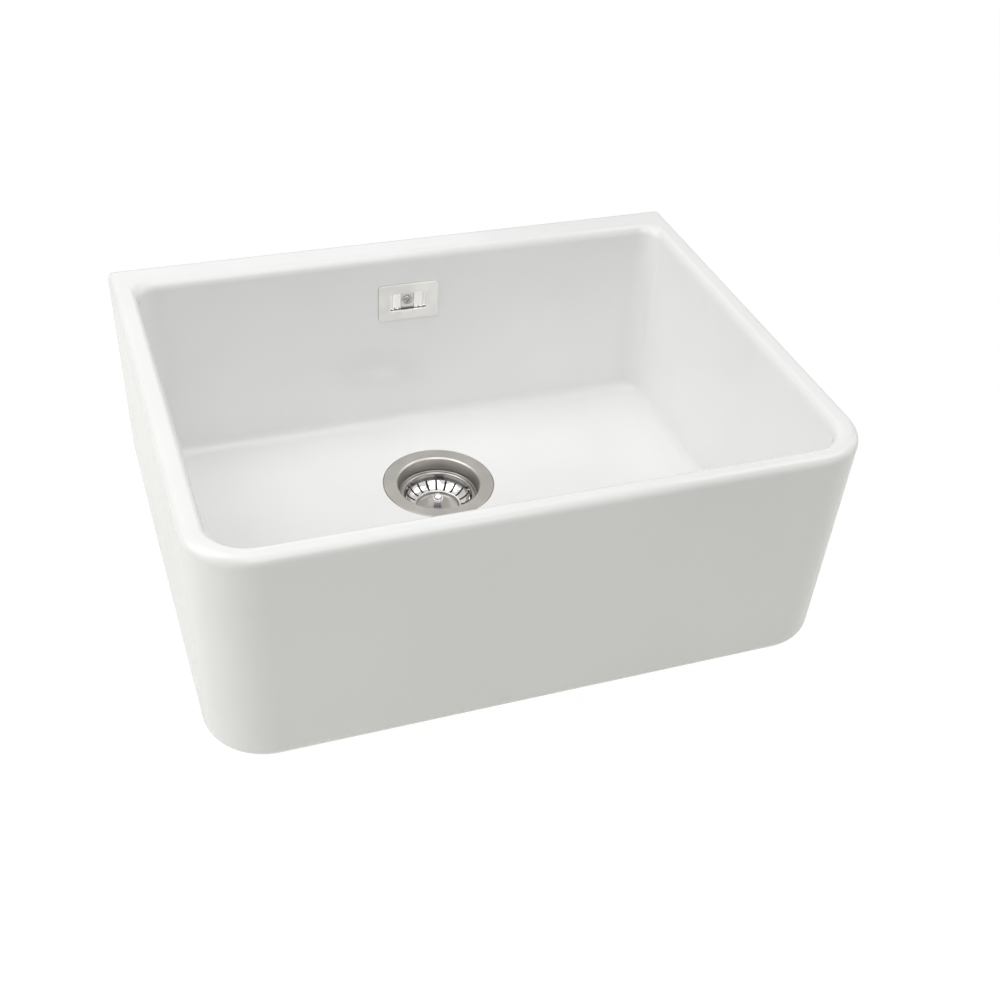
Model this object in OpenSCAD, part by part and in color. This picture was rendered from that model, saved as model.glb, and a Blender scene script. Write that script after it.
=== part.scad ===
// Butler sink with a basket strainer waste and an overflow at the back
// X runs along the width, Y from the front to the back, Z up, all in mm
// The origin is the middle of the underside of the bowl

/* [Bowl] */
// Width of the bowl
bowl_w = 595; // [560:1:640]
// Depth of the bowl from front to back
bowl_d = 475; // [455:1:510]
// Height of the bowl
bowl_h = 228; // [215:1:250]
// Width of the rim at the front and at the sides
side_rim = 22; // [20:0.5:28]
// Width of the rim at the back
back_rim = 40; // [39:0.5:44]
// Thickness of the base
base_t = 24; // [20:0.5:30]
// How much the outer walls lean in from rim to base
out_draft = 6; // [2:0.5:10]
// How much the inner walls lean in from rim to floor
in_draft = 2; // [1:0.25:4]

/* [Bowl edges] */
// Radius of the outer front corners
front_r = 56; // [50:1:70]
// Radius of the upright edges at the back
back_r = 5; // [3:0.5:7]
// Radius of the inner back corners
inner_back_r = 20; // [14:0.5:24]
// Rounding of the outer rim edge
rim_out_r = 9; // [7:0.5:10]
// Rounding of the inner rim edge
rim_in_r = 10; // [8:0.5:11]
// Rounding of the lower outer edge
base_r = 14; // [10:0.5:18]
// Rounding between the inner walls and the floor
floor_r = 12; // [8:0.5:16]

/* [Waste hole] */
// Distance of the waste behind the middle of the bowl
waste_y = 76; // [60:1:86]
// Diameter of the hole through the base
waste_hole_d = 90; // [89.5:0.5:91]
// Diameter of the recess for the waste flange
waste_seat_d = 116.5; // [116.5:0.5:120]
// Depth of the recess for the waste flange
waste_seat_h = 3; // [2.6:0.1:3.4]
// Diameter of the recess under the base
under_seat_d = 122; // [118:0.5:126]
// Depth of the recess under the base
under_seat_h = 3; // [2:0.25:4]

/* [Overflow opening] */
// Distance of the overflow below the rim
overflow_drop = 54.5; // [52:0.5:62]
// Width of the opening in the back wall
overflow_w = 44; // [42:0.5:44.5]
// Height of the opening in the back wall
overflow_h = 28; // [26:0.5:29]
// Corner radius of the opening in the back wall
overflow_r = 6; // [4:0.5:7]
// Gap around the overflow plate in its recess
seat_gap = 0.4; // [0.3:0.1:2]
// Distance of the recess floor behind the inner rim line
seat_back = 1; // [0.6:0.1:1.4]
// Width of the channel in the back face
channel_w = 80; // [70:1:90]
// Depth of the channel in the back face
channel_depth = 27; // [26.6:0.1:27.8]
// Distance from the overflow to the top of the channel
channel_rise = 38; // [35:0.5:42]
// Corner radius at the top of the channel
channel_r = 12; // [6:1:14]

/* [Strainer] */
// Thickness of the pressed steel sheet
sheet = 1.2; // [1:0.1:1.4]
// Diameter of the strainer flange
flange_d = 115; // [113:0.5:116]
// Inner diameter of the strainer throat
throat_d = 85; // [84.5:0.1:85.5]
// Radius of the rolled edge of the throat
throat_r = 3; // [2:0.25:3.5]
// Depth of the basket ledge below the flange
ledge_drop = 15.6; // [14.6:0.1:16.2]
// Inner radius at the outer edge of the ledge
ledge_r = 41.4; // [41.2:0.1:41.8]
// Inner radius of the cup just below the ledge
cup_top_r = 36.8; // [36.6:0.1:37.4]
// Inner radius of the cup near its bottom
cup_low_r = 34.5; // [34.4:0.1:35]
// Depth of the cup floor below the flange
cup_drop = 50; // [49:0.1:50.6]
// Rounding between the cup wall and the cup floor
cup_r = 3; // [2:0.25:3]
// Number of drain holes in the cup floor
drain_n = 8; // [6:1:9]
// Diameter of the drain holes
drain_d = 10; // [8:0.5:10.5]
// Radius of the ring of drain holes
drain_ring = 17.5; // [17:0.1:19]

/* [Basket] */
// Thickness of the basket sheet
basket_sheet = 1; // [0.8:0.05:1.2]
// Height of the resting basket above the ledge
basket_gap = 0.25; // [0.2:0.05:0.4]
// Outer diameter of the basket rim
basket_d = 78; // [76.5:0.1:79]
// Inner radius of the basket at its rim
basket_in_r = 35.4; // [35:0.1:35.4]
// Inner radius of the basket at the foot of its wall
basket_low_r = 34.8; // [34.4:0.1:35]
// Radius of the sunken disc of the basket
disc_r = 21.6; // [20:0.1:21.8]
// Depth of the disc below the basket rim
disc_drop = 18.65; // [18.4:0.05:18.8]
// Height of the dish's inner edge above the disc
dish_step = 3.7; // [2.6:0.1:4.4]
// Radius of the dish at its inner edge
dish_from = 23.6; // [23.4:0.1:24]
// Radius of the curve of the dish, seen in section
dish_r = 14.4; // [14:0.1:18]
// Number of slots around the dish
slot_n = 20; // [16:1:24]
// Width of the slots
slot_w = 2.2; // [1.6:0.1:2.6]
// Inner end of the slots from the centre
slot_from = 24.4; // [24.2:0.1:25]
// Outer end of the slots from the centre
slot_to = 34.6; // [32:0.1:34.6]

/* [Basket knob and stem] */
// Radius of the knob head
knob_r = 5.6; // [5.2:0.1:6]
// Radius of the knob foot
knob_foot_r = 4.4; // [4.2:0.1:5]
// Radius of the knob neck at its narrowest
knob_neck_r = 3.6; // [3:0.1:3.8]
// Height of the knob above the disc
knob_h = 17.6; // [16:0.1:19]
// Radius of the threaded stud under the knob
stud_r = 2; // [1.8:0.1:2.2]
// Radius of the stem hub that carries the seal
hub_r = 10; // [9.6:0.1:10.4]
// Thickness of the seal where it is held
seal_t = 2.6; // [2.4:0.1:2.8]
// Radius of the stem flange below the seal
stem_flange_r = 14; // [13:0.1:14.6]
// Thickness of the stem flange
stem_flange_t = 1.5; // [1.2:0.1:1.8]
// Outer radius of the stem tube
stem_r = 8.5; // [8.2:0.1:9]
// Thickness of the closed top of the stem
stem_top_t = 1.8; // [1.6:0.1:1.9]
// Radius of the seal at its lip
seal_lip_r = 32.5; // [32:0.1:32.6]
// Distance between the lip of the seal and the cup floor
seal_gap = 0.3; // [0.3:0.05:0.5]

/* [Centre post] */
// Radius of the post that the collet slides on
post_r = 4; // [3.8:0.05:4.2]
// Height of the post above the cup floor
post_h = 13.2; // [12.8:0.1:13.4]
// Radius of the bolt head under the post
bolt_head_r = 7.5; // [7:0.1:8]
// Thickness of the bolt head
bolt_head_t = 2; // [1.8:0.1:2.1]
// Radius of the bolt shank
bolt_r = 3; // [2.8:0.05:3.1]
// Length of the bolt shank below the bolt head
bolt_len = 21.8; // [21:0.1:24]
// Thickness of the washer under the bolt head
washer_t = 0.8; // [0.6:0.1:0.8]
// Radius of the collet
collet_r = 6; // [5.8:0.05:6.1]
// Radial clearance of the two running fits of the collet
run_fit = 0.06; // [0.03:0.01:0.09]
// Radius of the ridge that keeps the collet in the stem
ridge_r = 6.4; // [6.35:0.05:6.5]
// Height of the ridge
ridge_h = 1.2; // [1:0.1:1.4]
// Distance of the ridge below the top of the collet
ridge_drop = 3.8; // [3.2:0.1:4]
// Thickness of the foot of the collet
foot_t = 1.2; // [0.9:0.1:1.4]
// Width of the slits in the collet
slit_w = 1; // [0.8:0.1:1.2]
// Height of the slits in the collet
slit_h = 4.5; // [4:0.1:5]

/* [Waste body] */
// Thickness of the gasket under the base
base_gasket_t = 3; // [2:0.25:4.5]
// Outer radius of the waste body flange
body_flange_r = 54; // [52.5:0.5:56]
// Thickness of the waste body flange
body_flange_t = 4; // [3.5:0.25:4.5]
// Inner radius of the waste body
body_in_r = 46; // [45.8:0.1:46.5]
// Wall thickness of the waste body
body_wall = 3; // [2.5:0.1:3.4]
// Depth of the upright wall of the waste body below the base
body_drop = 38; // [37:0.5:40]
// Outer radius of the outlet thread
outlet_r = 23.9; // [23.6:0.1:24.2]
// Inner radius of the outlet
outlet_bore_r = 20; // [19:0.25:20.5]
// Length of the outlet thread
outlet_len = 20; // [16:0.5:26]
// Depth of the outlet end below the base
outlet_drop = 80; // [79:0.5:90]
// Radius of the boss that holds the nut
boss_r = 8; // [7.5:0.1:9]
// Radius of the nut cast into the boss
nut_r = 5; // [4.6:0.1:5.4]
// Length of the nut
nut_len = 8; // [6:0.5:8]
// Depth of the boss top below the base
boss_drop = 32; // [31:0.5:34]
// Depth of the nut below the boss top
nut_drop = 6; // [5:0.5:7]
// Thickness of the ribs that carry the boss
rib_t = 3; // [2.5:0.1:4]

/* [Overflow parts] */
// Width of the overflow plate
plate_w = 64; // [62:0.5:64.5]
// Height of the overflow plate
plate_h = 41; // [40:0.5:41.5]
// Thickness of the overflow plate
plate_t = 2; // [1.6:0.1:3]
// Corner radius of the overflow plate
plate_r = 4; // [3:0.25:6]
// Width of the window in the plate
window_w = 38; // [37.5:0.1:38.4]
// Height of the window in the plate
window_h = 20; // [19:0.1:21]
// Thickness of the gasket behind the plate
front_gasket_t = 1; // [0.8:0.1:1.4]
// Thickness of the bridge sheet
bridge_t = 0.8; // [0.6:0.1:1]
// Depth of the bridge behind the plate
bridge_depth = 2.5; // [2:0.1:4.6]
// Distance of the bridge's lower edge above the foot of the wall opening
bridge_low = 3; // [2.5:0.1:5]
// Radius of the overflow screw head
head_r = 5.25; // [4.8:0.05:5.6]
// Height of the overflow screw head
head_h = 2.6; // [2.2:0.1:2.8]
// Radius of the overflow screw shank
screw_r = 2.5; // [2.3:0.05:2.7]
// Thickness of the gasket behind the back wall
rear_gasket_t = 2; // [1.8:0.1:2.2]
// Radius of the gasket behind the back wall
rear_gasket_r = 29; // [28:0.25:29.5]
// Radius of the elbow flange
elbow_flange_r = 30; // [29.6:0.1:31]
// Thickness of the elbow flange
elbow_flange_t = 3; // [2.6:0.1:3.4]
// Outer radius of the elbow chamber
chamber_r = 22; // [21.6:0.1:22.6]
// Wall thickness of the elbow chamber
chamber_wall = 2.5; // [2.2:0.1:2.8]
// Distance of the elbow inside the back face
elbow_inset = 1.5; // [1.2:0.1:1.6]
// Distance of the pipe's middle inside the back face
pipe_inset = 12.8; // [12.7:0.05:12.9]
// Radius of the insert in the elbow
insert_r = 3.6; // [3.4:0.1:4]
// Length of the insert in the elbow
insert_len = 10; // [9:0.5:10]
// Outer radius of the overflow pipe
pipe_r = 9.5; // [9.3:0.05:9.6]
// Wall thickness of the overflow pipe
pipe_wall = 1.5; // [1.2:0.1:1.8]
// Bend radius of the overflow pipe
bend_r = 28; // [26:0.5:32]
// Depth of the level run of the pipe below the base
pipe_drop = 22; // [21.5:0.1:22.5]
// Radial clearance of the pipe in its sockets
pipe_fit = 0.05; // [0.03:0.01:0.08]
// Outer radius of the socket on the elbow
socket_r = 12; // [11.9:0.05:12.1]
// Outer radius of the spigot on the waste body
spigot_r = 13.5; // [13:0.1:13.8]
// Outer radius of the union nut
union_r = 18; // [17:0.1:19]
// Length of the union nut
union_len = 18; // [16:0.5:20]
// Thickness of the end wall of the union nut
union_wall = 3; // [2.5:0.1:3.5]
// Distance of the spigot end behind the waste
spigot_reach = 84; // [80:0.5:86]
// Length of pipe inside the spigot
spigot_in = 20; // [16:0.5:24]
// Distance of the elbow socket mouth below the overflow
socket_drop = 40; // [36:0.5:44]
// Length of pipe inside the elbow socket
elbow_in = 15; // [12:0.5:15]
// Height of the seals around the pipe
pipe_seal_h = 3; // [2.5:0.1:3.5]

/* [Hidden] */
over = 1;
hole_fit = 0.3;
edge_fit = 0.1;
rest_gap = 0.35;
socket_gap = 1;
insert_wall = 1.9;
insert_gap = 2.5;
$fn = 36;

// Lines that several pieces share
w2 = bowl_w / 2;
d2 = bowl_d / 2;
in_x = w2 - side_rim;
in_front = side_rim - d2;
in_back = d2 - back_rim;
in_front_r = front_r - side_rim;
flange_top = base_t;
seat_z = base_t - waste_seat_h;
ledge_z = flange_top - ledge_drop;
cup_z = flange_top - cup_drop;
overflow_z = bowl_h - overflow_drop;
seat_y = in_back + seat_back;
channel_y = d2 - channel_depth;
plate_back = seat_y - front_gasket_t;
plate_front = plate_back - plate_t;
web_front = plate_back + bridge_depth;
elbow_front = channel_y + rear_gasket_t;
elbow_back = d2 - elbow_inset;
pipe_y = d2 - pipe_inset;
pipe_z = -pipe_drop;

// Lines of the basket and its stem
rim_low = ledge_z + basket_gap;
rim_top = rim_low + basket_sheet;
disc_z = rim_top - disc_drop;
hub_z = disc_z - basket_sheet;
hold_z = hub_z - seal_t;
bore_top = hub_z - stem_top_t;
post_top = cup_z + post_h;
head_low = cup_z + washer_t;
head_top = head_low + bolt_head_t;
collet_low = head_top + rest_gap;
collet_top = bore_top - rest_gap;
ridge_z = collet_top - ridge_drop;
stem_low = collet_low + foot_t + 2 * rest_gap;

// Lines of the waste body and the pipe
body_top = under_seat_h - base_gasket_t;
boss_top = -boss_drop;
nut_top = boss_top - nut_drop;
spigot_end = waste_y + spigot_reach;
pipe_end = spigot_end - spigot_in;
socket_low = overflow_z - socket_drop;
pipe_top = socket_low + elbow_in;

// Points along an arc
function arc(c, r, a, b, n = 4) =
    [for (i = [0:n]) c + r * [cos(a + (b - a) * i / n), sin(a + (b - a) * i / n)]];

module rounded(w, h, r) {
    union() {
        square([w - 2 * r, h], center = true);
        square([w, h - 2 * r], center = true);
        for (x = [-1, 1], y = [-1, 1])
            translate([x * (w / 2 - r), y * (h / 2 - r)]) circle(r);
    }
}

// A flat outline in X and Z, stood up from y to y + t
module upright(y, t) {
    translate([0, y + t, overflow_z]) rotate([90, 0, 0]) linear_extrude(t) children();
}

// Section of the outer wall, outwards from the rim line and up
module outer_section(depth) {
    run = sqrt(out_draft * out_draft + bowl_h * bowl_h);
    top = [-rim_out_r * (run + out_draft) / bowl_h, bowl_h - rim_out_r];
    foot = [-(base_r * run + (bowl_h - base_r) * out_draft) / bowl_h, base_r];
    n = [bowl_h, -out_draft] / run;
    union() {
        polygon([[-depth, 0], [foot[0], 0], foot, foot + base_r * n, top + rim_out_r * n,
            top, [top[0], bowl_h], [-depth, bowl_h]]);
        translate(top) circle(rim_out_r);
        translate(foot) circle(base_r);
    }
}

module outer_body() {
    union() {
        translate([-w2 + front_r, -d2 + front_r, 0])
            cube([bowl_w - 2 * front_r, bowl_d - front_r, bowl_h]);
        translate([w2, d2, 0]) rotate([90, 0, 0])
            linear_extrude(bowl_d - front_r) outer_section(front_r);
        translate([-w2, -d2 + front_r, 0]) rotate([90, 0, 180])
            linear_extrude(bowl_d - front_r) outer_section(front_r);
        translate([w2 - front_r, -d2, 0]) rotate([90, 0, -90])
            linear_extrude(bowl_w - 2 * front_r) outer_section(front_r);
        translate([w2 - front_r, -d2 + front_r, 0]) rotate([0, 0, -90])
            rotate_extrude(angle = 90) translate([front_r, 0]) outer_section(front_r);
        translate([-w2 + front_r, -d2 + front_r, 0]) rotate([0, 0, 180])
            rotate_extrude(angle = 90) translate([front_r, 0]) outer_section(front_r);
    }
}

// Section of the inner wall, outwards from the rim line and up
module inner_section(depth) {
    h = bowl_h - base_t;
    run = sqrt(in_draft * in_draft + h * h);
    n = [h, -in_draft] / run;
    lip = [rim_in_r * (run - in_draft) / h, bowl_h - rim_in_r];
    foot = [-(floor_r * run + (h - floor_r) * in_draft) / h, base_t + floor_r];
    difference() {
        union() {
            polygon([[-depth, base_t], [foot[0], base_t], foot, foot + floor_r * n,
                lip - rim_in_r * n, lip, [lip[0], bowl_h + over], [-depth, bowl_h + over]]);
            translate(foot) intersection() {
                circle(floor_r);
                translate([0, -2 * floor_r]) square([2 * floor_r, 4 * floor_r]);
            }
        }
        translate(lip) circle(rim_in_r);
    }
}

module cavity() {
    r1 = in_front_r;
    r2 = inner_back_r;
    union() {
        translate([0, 0, base_t]) linear_extrude(bowl_h - base_t + over)
            polygon([[in_x - r2, in_back - r2], [r2 - in_x, in_back - r2], [r2 - in_x, in_front + r1],
                [r1 - in_x, in_front + r1], [r1 - in_x, in_front + r2], [in_x - r1, in_front + r2],
                [in_x - r1, in_front + r1], [in_x - r2, in_front + r1]]);
        translate([in_x, in_back - r2, 0]) rotate([90, 0, 0])
            linear_extrude(in_back - r2 - in_front - r1) inner_section(r2);
        translate([-in_x, in_front + r1, 0]) rotate([90, 0, 180])
            linear_extrude(in_back - r2 - in_front - r1) inner_section(r2);
        translate([in_x - r1, in_front, 0]) rotate([90, 0, -90])
            linear_extrude(2 * (in_x - r1)) inner_section(r2);
        translate([r2 - in_x, in_back, 0]) rotate([90, 0, 90])
            linear_extrude(2 * (in_x - r2)) inner_section(r2);
        translate([in_x - r1, in_front + r1, 0]) rotate([0, 0, -90])
            rotate_extrude(angle = 90) translate([r1, 0]) inner_section(r1);
        translate([r1 - in_x, in_front + r1, 0]) rotate([0, 0, 180])
            rotate_extrude(angle = 90) translate([r1, 0]) inner_section(r1);
        translate([in_x - r2, in_back - r2, 0])
            rotate_extrude(angle = 90) translate([r2, 0]) inner_section(r2);
        translate([r2 - in_x, in_back - r2, 0]) rotate([0, 0, 90])
            rotate_extrude(angle = 90) translate([r2, 0]) inner_section(r2);
    }
}

// Cutter that rounds an edge of radius r, along Z, edge at the origin
module edge_cut(r, len) {
    translate([0, 0, -over]) linear_extrude(len + 2 * over) difference() {
        translate([-r, -r]) square(r + over);
        translate([-r, -r]) circle(r);
    }
}

module sink_bowl() {
    tilt = atan(out_draft / bowl_h);
    color([0.95, 0.95, 0.93])
    difference() {
        outer_body();
        cavity();
        translate([-w2, d2, bowl_h]) rotate([0, 90, 0]) rotate([0, 0, 90]) edge_cut(rim_out_r, bowl_w);
        translate([-w2, d2, 0]) rotate([0, 90, 0]) edge_cut(base_r, bowl_w);
        translate([w2 - out_draft, d2, 0]) rotate([0, tilt, 0]) edge_cut(back_r, bowl_h + over);
        translate([out_draft - w2, d2, 0]) rotate([0, -tilt, 0]) rotate([0, 0, 90])
            edge_cut(back_r, bowl_h + over);
        translate([0, waste_y, seat_z]) cylinder(d = waste_seat_d, h = waste_seat_h + over);
        translate([0, waste_y, -over]) cylinder(d = waste_hole_d, h = base_t);
        translate([0, waste_y, -over]) cylinder(d = under_seat_d, h = under_seat_h + over);
        upright(in_back - 10, seat_back + 10)
            rounded(plate_w + 2 * seat_gap, plate_h + 2 * seat_gap, plate_r + seat_gap);
        upright(in_back - 10, back_rim + 10) rounded(overflow_w, overflow_h, overflow_r);
        upright(channel_y, channel_depth + over) union() {
            translate([-channel_w / 2, -overflow_z - over])
                square([channel_w, overflow_z + over + channel_rise - channel_r]);
            translate([channel_r - channel_w / 2, 0]) square([channel_w - 2 * channel_r, channel_rise]);
            for (x = [-1, 1])
                translate([x * (channel_w / 2 - channel_r), channel_rise - channel_r]) circle(channel_r);
        }
    }
}

module strainer_gasket() {
    color([0.25, 0.25, 0.26])
    translate([0, waste_y, seat_z]) difference() {
        cylinder(d = flange_d - 1, h = waste_seat_h - sheet);
        translate([0, 0, -over]) cylinder(d = waste_hole_d + 2, h = waste_seat_h + 2 * over);
    }
}

module strainer_body() {
    tr = throat_d / 2;
    low = cup_z + cup_r;
    color([0.78, 0.77, 0.75])
    translate([0, waste_y, 0]) difference() {
        rotate_extrude() polygon(concat(
            [[flange_d / 2, flange_top - sheet], [flange_d / 2, flange_top]],
            arc([tr + throat_r, flange_top - throat_r], throat_r, 90, 180),
            arc([ledge_r - 1, ledge_z + 1], 1, 0, -90, 2),
            arc([cup_top_r + 1, ledge_z - 1], 1, 90, 180, 2),
            arc([cup_low_r - cup_r, low], cup_r, 0, -90, 3),
            [[0, cup_z], [0, cup_z - sheet]],
            arc([cup_low_r - cup_r, low], cup_r + sheet, -90, 0, 3),
            [[cup_top_r + sheet, ledge_z - sheet]],
            arc([ledge_r - 1, ledge_z + 1], 1 + sheet, -90, 0, 2),
            arc([tr + throat_r, flange_top - throat_r], throat_r - sheet, 180, 90)));
        translate([0, 0, cup_z - 2 * sheet]) cylinder(r = bolt_r + hole_fit, h = 4 * sheet);
        for (i = [0:drain_n - 1]) rotate([0, 0, (i + 0.5) * 360 / drain_n])
            translate([drain_ring, 0, cup_z - 2 * sheet]) cylinder(d = drain_d, h = 4 * sheet, $fn = 24);
    }
}

module base_gasket() {
    color([0.16, 0.16, 0.17])
    translate([0, waste_y, body_top]) difference() {
        cylinder(r = body_flange_r - 1, h = base_gasket_t);
        translate([0, 0, -over]) cylinder(r = body_in_r, h = base_gasket_t + 2 * over);
    }
}

module waste_body() {
    low = -body_drop;
    end = -outlet_drop;
    neck = end + outlet_len;
    out = body_in_r + body_wall;
    side = (body_drop - outlet_drop + outlet_len) / (body_in_r - outlet_bore_r);
    lift = body_wall * sqrt(1 + side * side) * 0.8;
    color([0.93, 0.93, 0.92])
    translate([0, waste_y, 0]) union() {
        difference() {
            union() {
                rotate_extrude() polygon([[0, body_top], [body_flange_r, body_top],
                    [body_flange_r, body_top - body_flange_t], [out, body_top - body_flange_t],
                    [out, low], [outlet_r + 2, low + side * (out - outlet_r - 2 - body_wall) - lift],
                    [outlet_r + 2, neck], [outlet_r, neck], [outlet_r, end], [0, end]]);
                translate([0, 0, pipe_z]) rotate([-90, 0, 0])
                    cylinder(r = spigot_r, h = spigot_end - waste_y);
            }
            rotate_extrude() polygon([[0, body_top + over], [body_in_r, body_top + over],
                [body_in_r, low], [outlet_bore_r, neck], [outlet_bore_r, end - over], [0, end - over]]);
            translate([0, 0, pipe_z]) rotate([-90, 0, 0])
                cylinder(r = pipe_r - pipe_wall, h = spigot_end - waste_y + over);
            translate([0, pipe_end - waste_y - socket_gap, pipe_z]) rotate([-90, 0, 0])
                cylinder(r = pipe_r + pipe_fit, h = spigot_in + socket_gap + over);
        }
        difference() {
            union() {
                translate([0, 0, nut_top - nut_len - boss_r / 2])
                    cylinder(r = boss_r, h = nut_drop + nut_len + boss_r / 2);
                intersection() {
                    rotate_extrude() polygon([[0, boss_top - 1], [body_in_r + over, boss_top - 1],
                        [body_in_r + over, low], [outlet_bore_r + over, neck - over], [0, neck - over]]);
                    for (i = [0:2]) rotate([0, 0, 30 + i * 120])
                        translate([0, -rib_t / 2, nut_top - nut_len])
                        cube([body_in_r + over, rib_t, nut_len + nut_drop / 3]);
                }
            }
            translate([0, 0, nut_top - nut_len]) cylinder(r = nut_r, h = nut_len);
            translate([0, 0, boss_top + over - nut_drop - nut_len - boss_r])
                cylinder(r = bolt_r + hole_fit, h = nut_drop + nut_len + boss_r);
        }
    }
}

module bolt_nut() {
    color([0.8, 0.68, 0.4])
    translate([0, waste_y, nut_top - nut_len]) difference() {
        cylinder(r = nut_r, h = nut_len);
        translate([0, 0, -over]) cylinder(r = bolt_r, h = nut_len + 2 * over);
    }
}

module bolt_washer() {
    color([0.18, 0.18, 0.19])
    translate([0, waste_y, cup_z]) difference() {
        cylinder(r = bolt_head_r, h = washer_t);
        translate([0, 0, -over]) cylinder(r = bolt_r + hole_fit, h = washer_t + 2 * over);
    }
}

module centre_bolt() {
    color([0.8, 0.8, 0.79])
    translate([0, waste_y, 0]) union() {
        translate([0, 0, head_low - bolt_len]) cylinder(r = bolt_r, h = bolt_len + 0.5);
        translate([0, 0, head_low]) cylinder(r = bolt_head_r, h = bolt_head_t);
        translate([0, 0, head_top - 0.5]) cylinder(r = post_r, h = post_top - head_top + 0.5);
    }
}

module basket_collet() {
    color([0.93, 0.93, 0.9])
    translate([0, waste_y, 0]) difference() {
        union() {
            translate([0, 0, collet_low]) cylinder(r = collet_r, h = collet_top - collet_low);
            translate([0, 0, collet_low]) cylinder(r = bolt_head_r, h = foot_t);
            translate([0, 0, ridge_z - ridge_h / 2]) cylinder(r = ridge_r, h = ridge_h);
        }
        translate([0, 0, collet_low - over])
            cylinder(r = post_r + run_fit, h = collet_top - collet_low + 2 * over);
        for (a = [0, 90]) rotate([0, 0, a])
            translate([-bolt_head_r - over, -slit_w / 2, collet_low - over])
                cube([2 * (bolt_head_r + over), slit_w, slit_h + over]);
    }
}

module basket_stem() {
    color([0.9, 0.9, 0.88])
    translate([0, waste_y, 0]) difference() {
        union() {
            translate([0, 0, hold_z - 0.5]) cylinder(r = hub_r - edge_fit / 2, h = seal_t + 0.5);
            translate([0, 0, hold_z - stem_flange_t]) cylinder(r = stem_flange_r, h = stem_flange_t);
            translate([0, 0, stem_low]) cylinder(r = stem_r, h = hold_z - stem_low);
        }
        translate([0, 0, stem_low - over]) cylinder(r = collet_r + run_fit, h = bore_top - stem_low + over);
        translate([0, 0, ridge_z - ridge_h / 2 - rest_gap])
            cylinder(r = ridge_r + edge_fit, h = ridge_h + 2 * rest_gap);
        translate([0, 0, bore_top - over]) cylinder(r = stud_r, h = stem_top_t + 2 * over);
    }
}

module stopper_seal() {
    lip = cup_z + seal_gap;
    color([0.14, 0.14, 0.15])
    translate([0, waste_y, 0]) rotate_extrude()
        polygon([[hub_r, hub_z], [hub_r + 6, hub_z], [seal_lip_r, lip + 1.5], [seal_lip_r, lip],
            [seal_lip_r - 2.5, lip], [hub_r + 5.5, hold_z], [hub_r, hold_z]]);
}

module basket_shell() {
    t = basket_sheet;
    dish_z = disc_z + dish_step;
    inner = 5;
    outer = asin(sin(inner) + (basket_low_r - dish_from) / dish_r);
    bend = [dish_from - dish_r * sin(inner), dish_z + dish_r * cos(inner)];
    color([0.8, 0.79, 0.77])
    translate([0, waste_y, 0]) difference() {
        rotate_extrude() polygon(concat(
            [[basket_d / 2, rim_low], [basket_d / 2, rim_top]],
            arc([basket_in_r + 1.4, rim_top - 1.4], 1.4, 90, 180, 3),
            arc(bend, dish_r, outer - 90, inner - 90, 6),
            [[dish_from - 0.8, dish_z - 0.5], [disc_r + 0.4, disc_z + 0.5], [disc_r, disc_z],
                [0, disc_z], [0, disc_z - t], [disc_r + 0.6, disc_z - t],
                [disc_r + 0.5 + t, disc_z - t + 0.8]],
            arc(bend, dish_r + t, inner - 90, outer - 90, 6),
            [[basket_in_r + t, rim_low]]));
        translate([0, 0, disc_z - 2 * t]) cylinder(r = stud_r + edge_fit, h = 4 * t);
        for (i = [0:slot_n - 1]) rotate([0, 0, (i + 0.22) * 360 / slot_n])
            translate([slot_from, -slot_w / 2, disc_z - 2]) cube([slot_to - slot_from, slot_w, 14]);
    }
}

module basket_knob() {
    top = disc_z + knob_h;
    mid = top - knob_r;
    color([0.86, 0.86, 0.87])
    translate([0, waste_y, 0]) rotate_extrude() polygon(concat(
        [[0, bore_top + 0.2], [stud_r, bore_top + 0.2], [stud_r, disc_z], [knob_foot_r, disc_z],
            [knob_foot_r, disc_z + 0.9], [knob_neck_r + 0.6, disc_z + 2]],
        [[knob_neck_r, disc_z + 6]],
        arc([0, mid], knob_r, -40, 90, 8)));
}

module overflow_front_gasket() {
    color([0.2, 0.2, 0.21])
    upright(plate_back, front_gasket_t) difference() {
        rounded(plate_w - 4, plate_h - 4, plate_r - 1);
        rounded(overflow_w, overflow_h, overflow_r);
    }
}

module overflow_plate() {
    color([0.8, 0.79, 0.77])
    upright(plate_front, plate_t) difference() {
        rounded(plate_w, plate_h, plate_r);
        square([window_w, window_h], center = true);
    }
}

module overflow_bridge() {
    flat = window_w / 2 - 0.5 - bridge_depth;
    out = bridge_depth + bridge_t;
    lip = asin(bridge_t / out);
    low = bridge_low - overflow_h / 2;
    color([0.84, 0.84, 0.84])
    translate([0, plate_back, overflow_z + low]) difference() {
        linear_extrude(window_h / 2 - low) polygon(concat(
            [[overflow_w / 2 - 0.5, 0], [overflow_w / 2 - 0.5, bridge_t]],
            arc([flat, 0], out, lip, 90, 5), arc([-flat, 0], out, 90, 180 - lip, 5),
            [[0.5 - overflow_w / 2, bridge_t], [0.5 - overflow_w / 2, 0]],
            arc([-flat, 0], bridge_depth, 180, 90, 5), arc([flat, 0], bridge_depth, 90, 0, 5)));
        translate([0, 0, -low]) rotate([-90, 0, 0])
            cylinder(r = screw_r + hole_fit, h = 2 * (bridge_depth + bridge_t));
    }
}

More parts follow.
